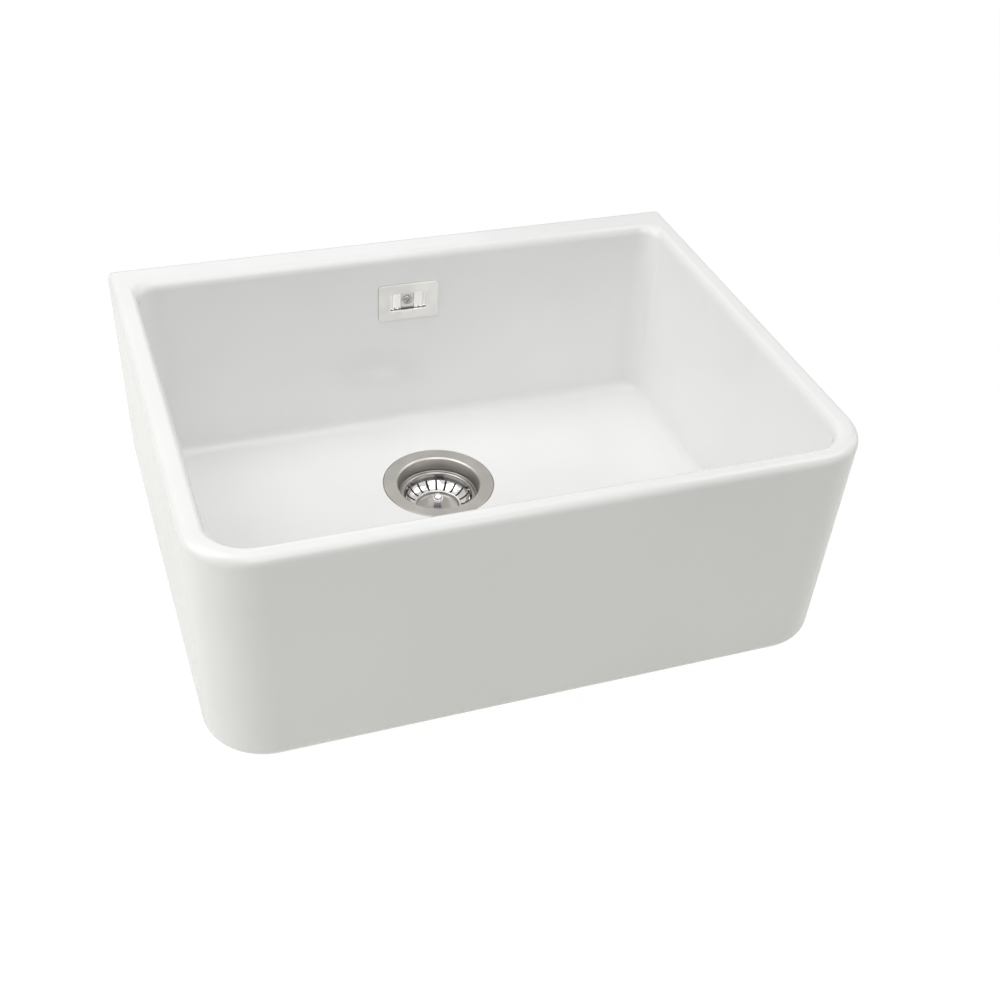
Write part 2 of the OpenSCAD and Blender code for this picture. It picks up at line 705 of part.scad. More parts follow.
module overflow_screw() {
    color([0.82, 0.82, 0.82])
    translate([0, web_front, overflow_z]) rotate([-90, 0, 0]) difference() {
        rotate_extrude() polygon(concat([[0, -head_h]],
            [for (i = [1:5]) [head_r * sin(i * 16), -0.6 - (head_h - 0.6) * cos(i * 16)]],
            [[head_r, -0.5], [head_r, 0], [screw_r, 0],
            [screw_r, elbow_back - web_front - 6], [0, elbow_back - web_front - 6]]));
        for (a = [45, 135]) rotate([0, 0, a]) translate([-2.6, -0.45, -head_h - over])
            cube([5.2, 0.9, over + 1.3]);
    }
}

module overflow_rear_gasket() {
    color([0.2, 0.2, 0.21])
    upright(channel_y, rear_gasket_t) difference() {
        circle(rear_gasket_r);
        rounded(overflow_w, overflow_h, overflow_r);
    }
}

module overflow_elbow() {
    inner = elbow_back - chamber_wall;
    boss_y = inner - insert_len - insert_gap;
    color([0.93, 0.93, 0.92])
    difference() {
        union() {
            difference() {
                union() {
                    upright(elbow_front, elbow_flange_t) circle(elbow_flange_r);
                    upright(elbow_front, elbow_back - elbow_front) circle(chamber_r);
                    translate([0, pipe_y, socket_low]) cylinder(r = socket_r, h = overflow_z - socket_low);
                }
                upright(elbow_front - over, inner - elbow_front + over) circle(chamber_r - chamber_wall);
                translate([0, pipe_y, socket_low])
                    cylinder(r = pipe_r - pipe_wall, h = overflow_z - socket_low);
            }
            upright(boss_y, inner - boss_y + 0.5) circle(insert_r + insert_wall);
        }
        upright(boss_y - over, insert_len + over) circle(insert_r);
        translate([0, pipe_y, socket_low - over])
            cylinder(r = pipe_r + pipe_fit, h = elbow_in + socket_gap + over);
        translate([0, pipe_y, socket_low - over]) cylinder(r = pipe_r + 1.5, h = pipe_seal_h + over);
    }
}

module overflow_insert() {
    boss_y = elbow_back - chamber_wall - insert_len - insert_gap;
    color([0.8, 0.68, 0.4])
    upright(boss_y, insert_len) difference() {
        circle(insert_r);
        circle(screw_r);
    }
}

module elbow_seal() {
    color([0.16, 0.16, 0.17])
    translate([0, pipe_y, socket_low]) difference() {
        cylinder(r = pipe_r + 1.5, h = pipe_seal_h);
        translate([0, 0, -over]) cylinder(r = pipe_r, h = pipe_seal_h + 2 * over);
    }
}

module overflow_pipe() {
    $fn = 32;
    top = pipe_z + bend_r;
    level = pipe_y - bend_r - pipe_end;
    color([0.9, 0.9, 0.89])
    union() {
        translate([0, pipe_y, top]) difference() {
            cylinder(r = pipe_r, h = pipe_top - top);
            translate([0, 0, -over]) cylinder(r = pipe_r - pipe_wall, h = pipe_top - top + 2 * over);
        }
        translate([0, pipe_y - bend_r, top]) rotate([0, 90, 0]) rotate_extrude(angle = 90)
            translate([bend_r, 0]) difference() {
                circle(pipe_r);
                circle(pipe_r - pipe_wall);
            }
        translate([0, pipe_end, pipe_z]) rotate([-90, 0, 0]) difference() {
            cylinder(r = pipe_r, h = level);
            translate([0, 0, -over]) cylinder(r = pipe_r - pipe_wall, h = level + 2 * over);
        }
    }
}

module union_seal() {
    color([0.16, 0.16, 0.17])
    translate([0, spigot_end, pipe_z]) rotate([-90, 0, 0]) difference() {
        cylinder(r = spigot_r - 0.5, h = pipe_seal_h);
        translate([0, 0, -over]) cylinder(r = pipe_r, h = pipe_seal_h + 2 * over);
    }
}

module union_nut() {
    from = spigot_end + pipe_seal_h + union_wall - union_len;
    color([0.93, 0.93, 0.92])
    translate([0, from, pipe_z]) rotate([-90, 0, 0]) difference() {
        cylinder(r = union_r, h = union_len);
        translate([0, 0, -over]) cylinder(r = spigot_r, h = union_len - union_wall + over);
        translate([0, 0, -over]) cylinder(r = pipe_r + hole_fit, h = union_len + 2 * over);
        for (i = [0:11]) rotate([0, 0, i * 30]) translate([union_r + 1.6, 0, -over])
            cylinder(r = 2.6, h = union_len + 2 * over, $fn = 16);
    }
}

sink_bowl();
strainer_gasket();
strainer_body();
base_gasket();
waste_body();
bolt_nut();
bolt_washer();
centre_bolt();
basket_collet();
basket_stem();
stopper_seal();
basket_shell();
basket_knob();
overflow_front_gasket();
overflow_plate();
overflow_bridge();
overflow_screw();
overflow_rear_gasket();
overflow_elbow();
overflow_insert();
elbow_seal();
overflow_pipe();
union_seal();
union_nut();
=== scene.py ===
"""Butler sink with a basket strainer waste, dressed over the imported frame."""
from math import asin, cos, degrees, pi, radians, sin, tau

import bmesh
import bpy
from mathutils import Matrix, Vector


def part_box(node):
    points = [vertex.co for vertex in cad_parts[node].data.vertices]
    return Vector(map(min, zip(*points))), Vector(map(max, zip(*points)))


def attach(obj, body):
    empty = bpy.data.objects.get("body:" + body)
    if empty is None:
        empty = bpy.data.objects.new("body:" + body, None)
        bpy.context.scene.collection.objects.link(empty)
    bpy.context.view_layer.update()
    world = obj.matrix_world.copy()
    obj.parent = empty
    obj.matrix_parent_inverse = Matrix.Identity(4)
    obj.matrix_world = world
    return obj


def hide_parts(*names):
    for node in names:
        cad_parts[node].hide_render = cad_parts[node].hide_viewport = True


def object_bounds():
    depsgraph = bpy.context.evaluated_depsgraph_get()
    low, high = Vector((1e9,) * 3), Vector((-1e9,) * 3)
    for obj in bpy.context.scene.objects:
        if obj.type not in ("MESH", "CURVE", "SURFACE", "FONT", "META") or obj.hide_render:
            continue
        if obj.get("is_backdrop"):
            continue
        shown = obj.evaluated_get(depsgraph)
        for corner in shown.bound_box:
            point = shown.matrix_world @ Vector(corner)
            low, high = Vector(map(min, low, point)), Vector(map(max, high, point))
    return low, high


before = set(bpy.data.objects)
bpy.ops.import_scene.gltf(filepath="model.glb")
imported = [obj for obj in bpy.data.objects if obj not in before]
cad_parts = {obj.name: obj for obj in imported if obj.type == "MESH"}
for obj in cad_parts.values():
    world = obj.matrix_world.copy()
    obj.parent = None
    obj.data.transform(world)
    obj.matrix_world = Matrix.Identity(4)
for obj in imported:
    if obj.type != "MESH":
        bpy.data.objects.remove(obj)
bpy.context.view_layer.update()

MM = 0.001

# Driving sizes of the bowl, in metres
BOWL_W, BOWL_D, BOWL_H = 0.595, 0.475, 0.228
SIDE_RIM, BACK_RIM, BASE_T = 0.022, 0.040, 0.024
OUT_DRAFT, IN_DRAFT = 0.006, 0.002
FRONT_R, BACK_R, INNER_BACK_R = 0.056, 0.005, 0.020
RIM_OUT_R, RIM_IN_R, BASE_R, FLOOR_R = 0.009, 0.010, 0.014, 0.012
WASTE_Y = 0.076
OVERFLOW_Z = 0.1735
CHANNEL_W, CHANNEL_TOP = 0.080, 0.2115
WASTE = (0, WASTE_Y, 0)


# Modelling helpers

def nothing_selected():
    """Leave edit mode and deselect every object."""
    if bpy.context.object and bpy.context.object.mode != "OBJECT":
        bpy.ops.object.mode_set(mode="OBJECT")
    bpy.ops.object.select_all(action="DESELECT")


def edit(piece):
    """Open one piece in edit mode with nothing selected in it."""
    nothing_selected()
    bpy.context.view_layer.objects.active = piece
    piece.select_set(True)
    bpy.ops.object.mode_set(mode="EDIT")
    bpy.ops.mesh.select_mode(type="VERT")
    bpy.ops.mesh.select_all(action="DESELECT")


def pick(piece, kind, test):
    """In edit mode, select the faces, edges or points for which the test holds."""
    bpy.ops.mesh.select_mode(type=kind)
    bpy.ops.mesh.select_all(action="DESELECT")
    mesh = bmesh.from_edit_mesh(piece.data)
    parts = {"FACE": mesh.faces, "EDGE": mesh.edges, "VERT": mesh.verts}[kind]
    for part in parts:
        part.select_set(bool(test(part)))
    mesh.select_flush_mode()
    bmesh.update_edit_mesh(piece.data)


def middle(part):
    """The middle of a face or an edge."""
    points = [v.co for v in part.verts]
    return sum(points, Vector()) / len(points)


def rise(edge):
    """The difference in height between an edge's ends."""
    return abs(edge.verts[0].co.z - edge.verts[1].co.z)


def named(name):
    """Take the primitive that was just added, place it in its mesh and name it."""
    piece = bpy.context.object
    bpy.ops.object.transform_apply(location=True, rotation=True, scale=True)
    piece.name = name
    piece.data.name = name
    return piece


def block(name, low, high):
    """A cube primitive that fills a box."""
    nothing_selected()
    low, high = Vector(low), Vector(high)
    bpy.ops.mesh.primitive_cube_add(size=1, location=(low + high) / 2, scale=high - low)
    return named(name)


def rod(name, centre, radius, length, axis="Z", sides=96):
    """A cylinder primitive whose middle is at the centre, along one axis."""
    turn = {"X": (0, pi / 2, 0), "Y": (pi / 2, 0, 0), "Z": (0, 0, 0)}[axis]
    nothing_selected()
    bpy.ops.mesh.primitive_cylinder_add(vertices=sides, radius=radius, depth=length,
                                        location=centre, rotation=turn)
    return named(name)


def rounded_block(name, low, high, radius, axis, segments=10):
    """A block whose four edges along one axis are rounded."""
    piece = block(name, low, high)
    along = "XYZ".index(axis)
    reach = high[along] - low[along]
    edit(piece)
    pick(piece, "EDGE", lambda e: abs((e.verts[0].co - e.verts[1].co)[along]) > 0.9 * reach)
    bpy.ops.mesh.bevel(offset=radius, segments=segments, affect="EDGES")
    nothing_selected()
    return piece


def apply(piece, kind, **settings):
    """Add one modifier to a piece and apply it."""
    nothing_selected()
    bpy.context.view_layer.objects.active = piece
    piece.select_set(True)
    step = piece.modifiers.new(kind.title(), kind)
    for key, value in settings.items():
        setattr(step, key, value)
    bpy.ops.object.modifier_apply(modifier=step.name)


def cut(piece, *cutters):
    """Take the cutters out of a piece."""
    for cutter in cutters:
        apply(piece, "BOOLEAN", operation="DIFFERENCE", solver="EXACT", object=cutter)
        bpy.data.meshes.remove(cutter.data)


def smooth(piece, angle=35):
    """Shade a piece smooth below an angle, with flat faces kept flat."""
    nothing_selected()
    bpy.context.view_layer.objects.active = piece
    piece.select_set(True)
    bpy.ops.object.shade_smooth_by_angle(angle=radians(angle))
    apply(piece, "WEIGHTED_NORMAL", keep_sharp=True, weight=100)


def arc(centre, radius, start, end, steps=6):
    """Points on an arc, from a start angle to an end angle in degrees."""
    angles = [radians(start + (end - start) * i / steps) for i in range(steps + 1)]
    return [(centre[0] + radius * cos(a), centre[1] + radius * sin(a)) for a in angles]


def drawn(name, points):
    """A chain of edges: one point of a plane primitive, extruded from place to place."""
    nothing_selected()
    bpy.ops.mesh.primitive_plane_add(size=MM, location=points[0])
    piece = named(name)
    edit(piece)
    bpy.ops.mesh.select_all(action="SELECT")
    bpy.ops.mesh.merge(type="CENTER")
    for here, there in zip(points, points[1:]):
        step = Vector(there) - Vector(here)
        bpy.ops.mesh.extrude_region_move(TRANSFORM_OT_translate={"value": step})
    return piece


def turned(name, outline, centre, axis="Z", steps=128, closed=True):
    """Spin an outline of (radius, height) points in millimetres about an axis through the centre."""
    out = Vector((1, 0, 0))
    up = Vector((0, 0, 1)) if axis == "Z" else Vector((0, 1, 0))
    places = [Vector(centre) + out * r * MM + up * h * MM for r, h in outline]
    piece = drawn(name, places)
    if closed:
        bpy.ops.mesh.select_all(action="SELECT")
        pick(piece, "VERT", lambda v: len(v.link_edges) == 1)
        bpy.ops.mesh.edge_face_add()
    bpy.ops.mesh.select_all(action="SELECT")
    bpy.ops.mesh.spin(steps=steps, angle=tau, center=centre, axis=up)
    bpy.ops.mesh.select_all(action="SELECT")
    bpy.ops.mesh.remove_doubles(threshold=2e-6)
    bpy.ops.mesh.normals_make_consistent(inside=False)
    nothing_selected()
    return piece


def turn_about(centre, angle, axis="Z"):
    """The matrix that turns by an angle about an axis through the centre."""
    there, back = Matrix.Translation(centre), Matrix.Translation(-Vector(centre))
    return there @ Matrix.Rotation(angle, 4, axis) @ back


def copied_round(piece, count, centre, axis="Z"):
    """Copies of a piece, each with its own mesh, turned about an axis through the centre."""
    copies = [piece]
    for i in range(1, count):
        twin = piece.copy()
        twin.data = piece.data.copy()
        bpy.context.collection.objects.link(twin)
        twin.data.transform(turn_about(centre, tau * i / count, axis))
        copies.append(twin)
    return copies


# Materials

LINES_PER_M = 2600.0


class Value:
    """A shader socket that Python's operators combine through Math nodes."""

    def __init__(self, finish, socket):
        self.finish = finish
        self.socket = socket

    def maths(self, operation, *others, flip=False):
        values = [self] + list(others)
        if flip:
            values.reverse()
        return self.finish.node("ShaderNodeMath", {"operation": operation}, dict(enumerate(values)))

    def __add__(self, other):
        return self.maths("ADD", other)

    def __sub__(self, other):
        return self.maths("SUBTRACT", other)

    def __rsub__(self, other):
        return self.maths("SUBTRACT", other, flip=True)

    def __mul__(self, other):
        return self.maths("MULTIPLY", other)

    __radd__ = __add__
    __rmul__ = __mul__

    def between(self, low, high):
        """Rise from 0 at low to 1 at high, held at both ends."""
        return self.finish.node("ShaderNodeMapRange", {"interpolation_type": "SMOOTHSTEP"},
                                {"Value": self, "From Min": low, "From Max": high})

    def part(self, name):
        """Another output of the node that this value comes from."""
        return Value(self.finish, self.socket.node.outputs[name])


class Finish:
    """One procedural material around a Principled shader."""

    def __init__(self, name, **constants):
        self.material = bpy.data.materials.new(name)
        self.material.use_nodes = True
        self.nodes = self.material.node_tree.nodes
        self.links = self.material.node_tree.links
        self.shader = self.nodes["Principled BSDF"]
        for key, value in constants.items():
            self.shader.inputs[key.replace("_", " ").title().replace("Ior", "IOR")].default_value = value
        place = self.nodes.new("ShaderNodeTexCoord")
        self.place = Value(self, place.outputs["Object"])

    def node(self, kind, settings=None, sockets=None):
        """Add a node, set it up, and give its first output."""
        made = self.nodes.new(kind)
        for key, value in (settings or {}).items():
            setattr(made, key, value)
        for key, value in (sockets or {}).items():
            self.put(made.inputs[key], value)
        return Value(self, next(s for s in made.outputs if s.enabled))

    def put(self, socket, value):
        if isinstance(value, Value):
            self.links.new(value.socket, socket)
        else:
            socket.default_value = value

    def feed(self, socket, value):
        """Send a value that changes over the surface to the shader."""
        self.put(self.shader.inputs[socket], value)

    def noise(self, scale, detail=2.0, place=None):
        """Cloudy noise over the surface."""
        sockets = {"Vector": place or self.place, "Scale": scale, "Detail": detail}
        return self.node("ShaderNodeTexNoise", {"noise_dimensions": "3D"}, sockets)

    def mapped(self, location=(0, 0, 0), scale=(1, 1, 1)):
        """The place on the surface, moved and stretched."""
        sockets = {"Vector": self.place, "Location": location, "Scale": scale}
        return self.node("ShaderNodeMapping", None, sockets)

    def height(self):
        """The height above the bowl's foot."""
        return self.node("ShaderNodeSeparateXYZ", None, {0: self.place}).part("Z")

    def distance_from(self, centre):
        """The distance from the upright axis through a centre."""
        flat = self.mapped(location=tuple(-c for c in centre), scale=(1, 1, 0))
        return self.node("ShaderNodeVectorMath", {"operation": "LENGTH"}, {0: flat}).part("Value")

    def turned_lines(self, distance):
        """The fine rings that a lathe leaves."""
        sockets = {"W": distance * LINES_PER_M, "Detail": 3.0}
        return self.node("ShaderNodeTexNoise", {"noise_dimensions": "1D"}, sockets)

    def mix(self, amount, first, second):
        """Mix two colours, each a colour or a value."""
        made = self.nodes.new("ShaderNodeMix")
        made.data_type = "RGBA"
        sockets = [s for s in made.inputs if s.enabled]
        for socket, value in zip(sockets, (amount, first, second)):
            self.put(socket, value)
        return Value(self, next(s for s in made.outputs if s.enabled))

    def bump(self, height, distance, strength):
        """Raise the surface a little where the height is high."""
        sockets = {"Height": height, "Distance": distance, "Strength": strength}
        self.feed("Normal", self.node("ShaderNodeBump", None, sockets))


def colour(red, green, blue):
    """A colour as a socket takes it."""
    return (red, green, blue, 1.0)


def toned(tone, part):
    """A colour made darker or lighter by a part."""
    return colour(*(c * part for c in tone))


def glazed_fireclay():
    """White glaze: a soft gloss, a little unevenness and a few faint specks."""
    f = Finish("glazed_fireclay", ior=1.5, specular_ior_level=0.45, coat_weight=0.05,
               coat_roughness=0.04)
    cloud = f.noise(7.0, 3.0)
    speck = f.noise(900.0, 1.0).between(0.76, 0.82) * f.noise(60.0).between(0.5, 0.66)
    glaze = f.mix(cloud.between(0.3, 0.7), colour(0.90, 0.903, 0.897), colour(0.923, 0.925, 0.919))
    f.feed("Base Color", f.mix(speck * 0.25, glaze, colour(0.62, 0.58, 0.52)))
    f.feed("Roughness", 0.10 + 0.05 * f.noise(22.0, 2.0))
    f.bump(f.noise(14.0, 2.0) + 0.02 * f.noise(260.0, 2.0), 0.5 * MM, 0.6)
    return f.material


def brushed(name, tone, rough, centre=None, painted_throat_shade=1.0):
    """Brushed steel, in rings about a centre and darkened down the throat by painted shade, or in level
    lines.
    """
    f = Finish(name, metallic=1.0)
    if centre:
        line = f.turned_lines(f.distance_from(centre))
    else:
        line = f.noise(1.0, 3.0, place=f.mapped(scale=(60.0, 60.0, LINES_PER_M)))
    stain = f.noise(35.0, 3.0)
    plain = f.mix(stain.between(0.35, 0.7), toned(tone, 0.9), colour(*tone))
    # Painted shade: below the flange height the colour is darkened by a factor, standing in for the
    # shade down the throat.
    f.feed("Base Color", f.mix(f.height().between(14 * MM, 21 * MM), toned(tone, painted_throat_shade), plain))
    f.feed("Roughness", rough - 0.06 + 0.12 * line + 0.08 * stain)
    f.bump(line, 0.02 * MM, 0.35)
    return f.material


def polished(name, tone, rough=0.08):
    """Polished steel with faint wipe marks."""
    f = Finish(name, metallic=1.0)
    wipe = f.noise(90.0, 4.0)
    f.feed("Base Color", f.mix(wipe, toned(tone, 0.93), colour(*tone)))
    f.feed("Roughness", rough + 0.08 * wipe)
    f.bump(f.noise(240.0, 2.0), 0.02 * MM, 0.25)
    return f.material


def basket_steel():
    """The basket: a polished dish and rim around a satin disc, with painted shade on the wall under the
    rim.
    """
    f = Finish("basket_steel", metallic=1.0)
    ring = f.distance_from(WASTE)
    disc = 1.0 - ring.between(22.6 * MM, 23.6 * MM)
    rim = ring.between(35.0 * MM, 35.6 * MM)
    # Painted shade: the wall under the rolled rim gets a dark colour, mixed in below, where shade falls.
    painted_shade_under_rim = ring.between(34.2 * MM, 34.6 * MM) * (1.0 - f.height().between(4.2 * MM, 6.6 * MM))
    line = f.turned_lines(ring)
    wipe = f.noise(90.0, 4.0)
    tone = f.mix(rim, colour(0.88, 0.87, 0.865), colour(0.46, 0.445, 0.43))
    tone = f.mix(painted_shade_under_rim, tone, colour(0.30, 0.29, 0.29))
    tone = f.mix(disc, tone, colour(0.53, 0.515, 0.50))
    f.feed("Base Color", f.mix(wipe, f.mix(0.92, colour(0, 0, 0), tone), tone))
    f.feed("Roughness", 0.05 + 0.05 * wipe + disc * (0.24 + 0.1 * line) + 0.12 * rim)
    f.bump(line, 0.02 * MM, 0.3)
    return f.material


def bridge_steel():
    """The sheet in the overflow window: polished ribs on sides lightened as painted highlight, and a
    rougher middle around the screw darkened as painted shade.
    """
    f = Finish("bridge_steel", metallic=1.0)
    across = f.node("ShaderNodeSeparateXYZ", None, {0: f.place})
    side = f.node("ShaderNodeMath", {"operation": "ABSOLUTE"}, {0: across}).between(6.4 * MM, 7.6 * MM)
    wipe = f.noise(90.0, 4.0)
    # Painted highlight and shade: the raised sides get a lighter colour and the recessed middle a darker
    # one; the middle's higher roughness is its satin finish.
    f.feed("Base Color", f.mix(side, colour(0.72, 0.71, 0.69), colour(0.95, 0.95, 0.94)))
    f.feed("Roughness", 0.05 + 0.06 * wipe + 0.25 * (1.0 - side))
    f.bump(f.noise(240.0, 2.0), 0.02 * MM, 0.25)
    return f.material


def chrome():
    """The knob: bright chrome on its head, darker in the shade of its neck."""
    f = Finish("chrome", metallic=1.0)
    head = f.height().between(-0.5 * MM, 3.0 * MM)
    wipe = f.noise(90.0, 4.0)
    f.feed("Base Color", f.mix(head, colour(0.26, 0.26, 0.30), colour(0.93, 0.93, 0.93)))
    f.feed("Roughness", 0.03 + 0.06 * wipe)
    return f.material


def plastic(name, tone, rough=0.42):
    """Moulded plastic with a fine grain."""
    f = Finish(name, ior=1.49)
    cloud = f.noise(40.0, 3.0)
    f.feed("Base Color", f.mix(cloud, toned(tone, 0.94), colour(*tone)))
    f.feed("Roughness", rough - 0.06 + 0.12 * cloud)
    f.bump(f.noise(1400.0, 2.0), 0.03 * MM, 0.4)
    return f.material


def rubber(name, tone, grain=1800.0):
    """Matte rubber or foam with a dusty surface."""
    f = Finish(name, ior=1.45)
    dust = f.noise(120.0, 4.0)
    f.feed("Base Color", f.mix(dust.between(0.4, 0.75), colour(*tone), toned(tone, 1.8)))
    f.feed("Roughness", 0.62 + 0.2 * dust)
    f.bump(f.noise(grain, 3.0), 0.08 * MM, 0.6)
    return f.material


def brass():
    """Turned brass, a little tarnished."""
    f = Finish("brass", metallic=1.0)
    stain = f.noise(220.0, 4.0)
    tarnish = stain.between(0.35, 0.7)
    f.feed("Base Color", f.mix(tarnish, colour(0.62, 0.46, 0.21), colour(0.8, 0.62, 0.32)))
    f.feed("Roughness", 0.24 + 0.2 * stain)
    f.bump(stain, 0.03 * MM, 0.4)
    return f.material


FINISHES = {
    "glazed_fireclay": glazed_fireclay(),
    # satin_steel: darkened down the throat by painted shade.
    "satin_steel": brushed("satin_steel", (0.595, 0.57, 0.54), 0.34, centre=WASTE, painted_throat_shade=0.62),
    "plate_steel": brushed("plate_steel", (0.92, 0.905, 0.88), 0.5),
    "bridge_steel": bridge_steel(),
    "polished_steel": polished("polished_steel", (0.80, 0.79, 0.775)),
    "basket_steel": basket_steel(),
    "screw_steel": polished("screw_steel", (0.50, 0.49, 0.475), 0.12),
    "chrome": chrome(),
    "brass": brass(),
    "white_plastic": plastic("white_plastic", (0.80, 0.80, 0.77)),
    "black_rubber": rubber("black_rubber", (0.022, 0.022, 0.024)),
    "foam_gasket": rubber("foam_gasket", (0.035, 0.035, 0.038), 700.0),
}


def finished(piece, body, slot, *nodes, finish=None):
    """Give a piece its material and its body, and hide the nodes that it stands for."""
    piece.data.materials.clear()
    piece.data.materials.append(FINISHES[finish or slot])
    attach(piece, body)
    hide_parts(*nodes)
    return piece


# The bowl

def bowl_shape():
    """The bowl before its openings are cut: a block that is tapered, rounded and hollowed."""
    w, d = BOWL_W / 2, BOWL_D / 2
    piece = block("bowl", (-w, -d, 0), (w, d, BOWL_H))
    edit(piece)
    pick(piece, "FACE", lambda f: f.normal.z < -0.9)
    bpy.ops.transform.resize(value=(1 - OUT_DRAFT / w, 1, 1), center_override=(0, 0, 0))
    pick(piece, "VERT", lambda v: v.co.z < MM and v.co.y < 0)
    bpy.ops.transform.translate(value=(0, OUT_DRAFT, 0))
    pick(piece, "EDGE", lambda e: middle(e).y < 0 and rise(e) > BOWL_H / 2)
    bpy.ops.mesh.bevel(offset=FRONT_R, segments=20, affect="EDGES")

    pick(piece, "FACE", lambda f: f.normal.z > 0.9)
    bpy.ops.mesh.inset(thickness=SIDE_RIM, depth=0, use_even_offset=True)
    inner_back = d - SIDE_RIM
    pick(piece, "VERT", lambda v: v.co.z > BOWL_H - MM and abs(v.co.y - inner_back) < MM)
    bpy.ops.transform.translate(value=(0, SIDE_RIM - BACK_RIM, 0))
    half_x = w - SIDE_RIM
    pick(piece, "FACE", lambda f: f.normal.z > 0.9 and len(f.verts) > 8
         and max(abs(v.co.x) for v in f.verts) < half_x + MM)
    bpy.ops.mesh.extrude_region_move(TRANSFORM_OT_translate={"value": (0, 0, BASE_T - BOWL_H)})
    front, back = SIDE_RIM - d, d - BACK_RIM
    half_y = (back - front) / 2
    bpy.ops.transform.resize(value=(1 - IN_DRAFT / half_x, 1 - IN_DRAFT / half_y, 1),
                             center_override=(0, (back + front) / 2, BASE_T))
    pick(piece, "EDGE", lambda e: rise(e) > BOWL_H / 2 and abs(middle(e).y - back) < 5 * MM)
    bpy.ops.mesh.bevel(offset=INNER_BACK_R, segments=12, affect="EDGES")
    nothing_selected()
    round_edges(piece)
    return piece


def on_loop(edge, height, inner):
    """Whether an edge lies on the inner or the outer loop at a height."""
    if any(abs(v.co.z - height) > 0.5 * MM for v in edge.verts):
        return False
    normals = [f.normal for f in edge.link_faces]
    if len(normals) != 2 or abs(normals[0].z) > 0.9 and abs(normals[1].z) > 0.9:
        return False
    centre = Vector((0, 0, middle(edge).z))
    side = next(n for n in normals if abs(n.z) < 0.9)
    faces_in = side.dot(centre - middle(edge)) > 0
    return faces_in == inner


def round_edges(piece):
    """Round every edge of the bowl at once, each by its own radius."""
    loops = [(BOWL_H, False, RIM_OUT_R), (BOWL_H, True, RIM_IN_R),
             (0, False, BASE_R), (BASE_T, True, FLOOR_R)]
    widest = max(radius for _, _, radius in loops)
    edit(piece)
    for height, inner, radius in loops:
        pick(piece, "EDGE", lambda e: on_loop(e, height, inner))
        bpy.ops.transform.edge_bevelweight(value=radius / widest)
    side = BOWL_W / 2 - OUT_DRAFT - 2 * MM
    pick(piece, "EDGE", lambda e: rise(e) > BOWL_H * 0.9
         and abs(middle(e).x) > side and middle(e).y > BOWL_D / 2 - MM)
    bpy.ops.transform.edge_bevelweight(value=BACK_R / widest)
    apply(piece, "BEVEL", width=widest, limit_method="WEIGHT", segments=8, use_clamp_overlap=False)


def back_wall_cutters(wall, seat_back):
    """The seat of the overflow plate, the opening behind it and the channel in the back face."""
    back, past = BOWL_D / 2, 10 * MM
    seat_w, seat_h, seat_r = 64.4 * MM, 41.4 * MM, 4.2 * MM
    open_w, open_h, open_r = 44 * MM, 28 * MM, 6 * MM
    channel_r = 12 * MM
    channel_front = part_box("overflow_rear_gasket")[0].y
    seat = rounded_block("seat", (-seat_w / 2, wall - 2 * past, OVERFLOW_Z - seat_h / 2),
                         (seat_w / 2, seat_back, OVERFLOW_Z + seat_h / 2), seat_r, "Y")
    opening = rounded_block("opening", (-open_w / 2, wall - 2 * past, OVERFLOW_Z - open_h / 2),
                            (open_w / 2, back + past, OVERFLOW_Z + open_h / 2), open_r, "Y")
    channel = rounded_block("channel", (-CHANNEL_W / 2, channel_front, -5 * past),
                            (CHANNEL_W / 2, back + past, CHANNEL_TOP), channel_r, "Y")
    return seat, opening, channel


def base_cutters(recess):
    """The flange's recess above the base, the gasket's below it, and the waste hole."""
    flange_r, gasket_r, hole_r, under_depth, tall = 58.2 * MM, 61 * MM, 45 * MM, 3 * MM, 20 * MM
    flange_seat = rod("flange_seat", (0, WASTE_Y, recess + tall / 2), flange_r, tall, sides=160)
    under_seat = rod("under_seat", (0, WASTE_Y, under_depth - tall / 2), gasket_r, tall, sides=160)
    hole = rod("hole", (0, WASTE_Y, BASE_T / 2), hole_r, 3 * tall, sides=160)
    return flange_seat, under_seat, hole


def soften(piece, radius, segments, keep=None):
    """Bevel the sharp edges of a piece, except those for which the test holds."""
    edit(piece)
    bpy.ops.mesh.select_mode(type="EDGE")
    bpy.ops.mesh.edges_select_sharp(sharpness=radians(40))
    if keep:
        mesh = bmesh.from_edit_mesh(piece.data)
        for e in mesh.edges:
            e.select_set(e.select and not keep(e))
        bmesh.update_edit_mesh(piece.data)
    bpy.ops.mesh.bevel(offset=radius, segments=segments, affect="EDGES", clamp_overlap=True)
    nothing_selected()


def bowl():
    """The glazed bowl with its openings, the shallow recesses kept crisper than the rest."""
    piece = bowl_shape()
    wall = BOWL_D / 2 - BACK_RIM
    seat_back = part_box("overflow_front_gasket")[1].y
    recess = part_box("strainer_gasket")[0].z
    cut(piece, *back_wall_cutters(wall, seat_back), *base_cutters(recess))

    def in_recess(edge):
        spot = middle(edge)
        return recess - MM < spot.z < BASE_T + MM or wall - 3 * MM < spot.y < seat_back + MM

    soften(piece, 1.6 * MM, 3, keep=in_recess)
    soften(piece, 0.5 * MM, 2)
    smooth(piece, 32)
    return finished(piece, "sink", "glazed_fireclay", "sink_bowl")


bowl()


# The strainer and the lift-out basket

def joined(name, pieces):
    """Several pieces as one mesh."""
    nothing_selected()
    for piece in pieces:
        piece.select_set(True)
    bpy.context.view_layer.objects.active = pieces[0]
    if len(pieces) > 1:
        bpy.ops.object.join()
    pieces[0].name = name
    return pieces[0]


